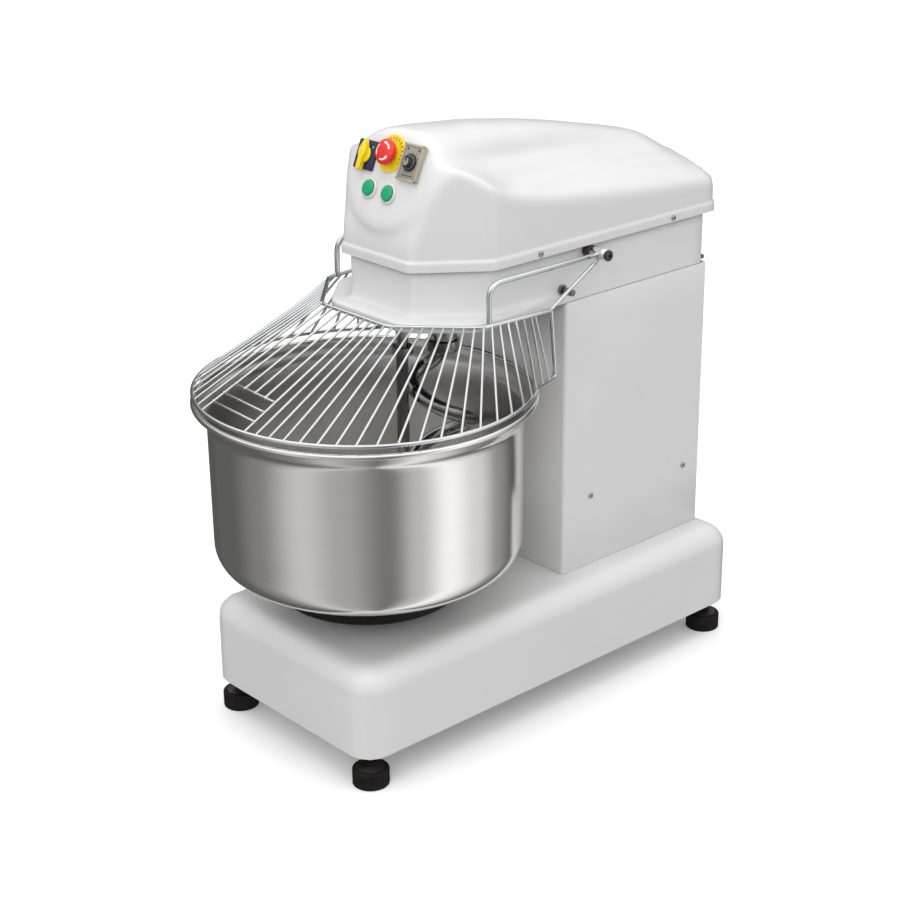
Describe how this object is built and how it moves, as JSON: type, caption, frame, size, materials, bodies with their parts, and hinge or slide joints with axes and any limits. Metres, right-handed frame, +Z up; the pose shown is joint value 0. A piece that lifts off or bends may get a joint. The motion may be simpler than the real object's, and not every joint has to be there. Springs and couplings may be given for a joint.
{
  "type": "spiral dough mixer",
  "caption": "Floor-standing commercial dough mixer: a fixed head on a column, a turning steel bowl, a spiral hook, a lifting wire guard and a leaning control panel.",
  "frame": {"origin": "on the floor, under the middle of the whole mixer", "axes": "+Z up; -Y from the column towards the bowl; +X to the right as seen by a person who stands at the bowl and faces the control panel"},
  "size_m": [0.5, 0.86, 0.8963],
  "materials": {
    "white_paint": "smooth white enamel, slight orange peel",
    "cover_paint": "smooth white enamel on a moulded shell",
    "stainless": "polished stainless, fine turned lines",
    "guard_chrome": "bright polished wire",
    "zinc": "zinc plated fasteners",
    "black_steel": "black satin",
    "foot_rubber": "black rubber with a dark steel top",
    "machined_steel": "turned steel",
    "cast_iron": "oiled grey iron",
    "belt_rubber": "matt belt rubber",
    "motor_paint": "blue-grey motor enamel",
    "black_plastic": "moulded black",
    "navy_plastic": "dark blue moulded",
    "yellow_plastic": "bright yellow moulded",
    "red_plastic": "bright red moulded",
    "beige_plastic": "warm grey moulded",
    "bezel_plastic": "pale metal-look bezel",
    "green_plastic": "bright green moulded"
  },
  "bodies": {
    "frame": {"base_shell": "white_paint", "column_shell": "white_paint", "column_rear_panel": "white_paint", "head_casing": "white_paint", "head_cover": "cover_paint", "breaker_bar": "stainless", "guard_pivot_left": "zinc", "guard_pivot_right": "zinc", "breaker_bar_nut": "zinc", "column_screw_left_1": "zinc", "column_screw_left_2": "zinc", "column_screw_right_1": "zinc", "column_screw_right_2": "zinc", "cover_screw_left_1": "zinc", "cover_screw_left_2": "zinc", "cover_screw_right_1": "zinc", "cover_screw_right_2": "zinc", "guard_stop_left": "black_steel", "guard_stop_right": "black_steel", "base_plate": "cast_iron", "head_floor": "cast_iron", "bowl_bearing": "cast_iron", "jack_lower_bearing": "cast_iron", "jack_upper_bearing": "cast_iron", "hook_bearing": "cast_iron", "bowl_chain": "cast_iron", "motor_belt": "belt_rubber", "hook_belt": "belt_rubber", "motor_body": "motor_paint", "motor_fan_cover": "motor_paint", "cable_gland": "black_plastic", "electrical_box": "black_plastic", "selector_plate": "navy_plastic", "stop_collar": "yellow_plastic", "timer_plate": "beige_plastic", "start_button_bezel": "bezel_plastic", "jog_button_bezel": "bezel_plastic"},
    "bowl": {"bowl": "stainless", "bowl_drive_plate": "black_steel", "bowl_spindle": "machined_steel", "bowl_sprocket": "cast_iron"},
    "hook": {"spiral_hook": "stainless", "hook_shaft": "stainless", "hook_pulley": "cast_iron"},
    "jack": {"jack_shaft": "machined_steel", "jack_sprocket": "cast_iron", "jack_pulley": "cast_iron"},
    "rotor": {"motor_shaft": "machined_steel", "motor_pulley": "cast_iron"},
    "guard": {"guard_cage": "guard_chrome"},
    "selector": {"selector_knob": "yellow_plastic"},
    "stop_stem": {"stop_stem": "black_plastic"},
    "stop_head": {"stop_head": "red_plastic"},
    "timer": {"timer_knob": "black_plastic"},
    "start_cap": {"start_button_cap": "green_plastic"},
    "jog_cap": {"jog_button_cap": "green_plastic"},
    "foot_front_left": {"levelling_foot_front_left": "foot_rubber"},
    "foot_front_right": {"levelling_foot_front_right": "foot_rubber"},
    "foot_rear_left": {"levelling_foot_rear_left": "foot_rubber"},
    "foot_rear_right": {"levelling_foot_rear_right": "foot_rubber"}
  },
  "joints": [
    {"name": "bowl_spin", "type": "hinge", "parent": "frame", "child": "bowl", "pos_m": [0, -0.18, 0.19], "axis": [0, 0, 1], "continuous": true},
    {"name": "hook_spin", "type": "hinge", "parent": "frame", "child": "hook", "pos_m": [0, -0.03, 0.64], "axis": [0, 0, 1], "continuous": true},
    {"name": "jack_spin", "type": "hinge", "parent": "frame", "child": "jack", "pos_m": [0, 0.17, 0.65], "axis": [0, 0, 1], "continuous": true},
    {"name": "motor_spin", "type": "hinge", "parent": "frame", "child": "rotor", "pos_m": [0, 0.325, 0.55], "axis": [0, 0, 1], "continuous": true},
    {"name": "guard_lift", "type": "hinge", "parent": "frame", "child": "guard", "pos_m": [0, 0.13, 0.698], "axis": [-1, 0, 0], "range_deg": [0, 75]},
    {"name": "selector_turn", "type": "hinge", "parent": "frame", "child": "selector", "pos_m": [-0.0545, -0.11856, 0.84632], "axis": [0, 0.9205, -0.3907], "range_deg": [-60, 60]},
    {"name": "stop_press", "type": "slide", "parent": "frame", "child": "stop_stem", "axis": [0, 0.9205, -0.3907], "range_m": [0, 0.005]},
    {"name": "stop_twist", "type": "hinge", "parent": "stop_stem", "child": "stop_head", "pos_m": [-0.006, -0.11466, 0.85552], "axis": [0, 0.9205, -0.3907], "range_deg": [0, 40], "stiffness_Nm_per_rad": 0.05},
    {"name": "timer_turn", "type": "hinge", "parent": "frame", "child": "timer", "pos_m": [0.0415, -0.117, 0.85], "axis": [0, 0.9205, -0.3907], "range_deg": [0, 300]},
    {"name": "start_press", "type": "slide", "parent": "frame", "child": "start_cap", "axis": [0, 0.9205, -0.3907], "range_m": [0, 0.0035], "stiffness_N_per_m": 500},
    {"name": "jog_press", "type": "slide", "parent": "frame", "child": "jog_cap", "axis": [0, 0.9205, -0.3907], "range_m": [0, 0.0035], "stiffness_N_per_m": 500},
    {"name": "foot_turn_front_left", "type": "hinge", "parent": "frame", "child": "foot_front_left", "pos_m": [-0.156, -0.316, 0.04], "axis": [0, 0, 1], "continuous": true},
    {"name": "foot_turn_front_right", "type": "hinge", "parent": "frame", "child": "foot_front_right", "pos_m": [0.156, -0.316, 0.04], "axis": [0, 0, 1], "continuous": true},
    {"name": "foot_turn_rear_left", "type": "hinge", "parent": "frame", "child": "foot_rear_left", "pos_m": [-0.156, 0.403, 0.04], "axis": [0, 0, 1], "continuous": true},
    {"name": "foot_turn_rear_right", "type": "hinge", "parent": "frame", "child": "foot_rear_right", "pos_m": [0.156, 0.403, 0.04], "axis": [0, 0, 1], "continuous": true}
  ],
  "couplings": [
    {"joint": "hook_spin", "follows": "bowl_spin", "ratio": 6.7},
    {"joint": "jack_spin", "follows": "bowl_spin", "ratio": 6.7},
    {"joint": "motor_spin", "follows": "bowl_spin", "ratio": 37.648}
  ]
}
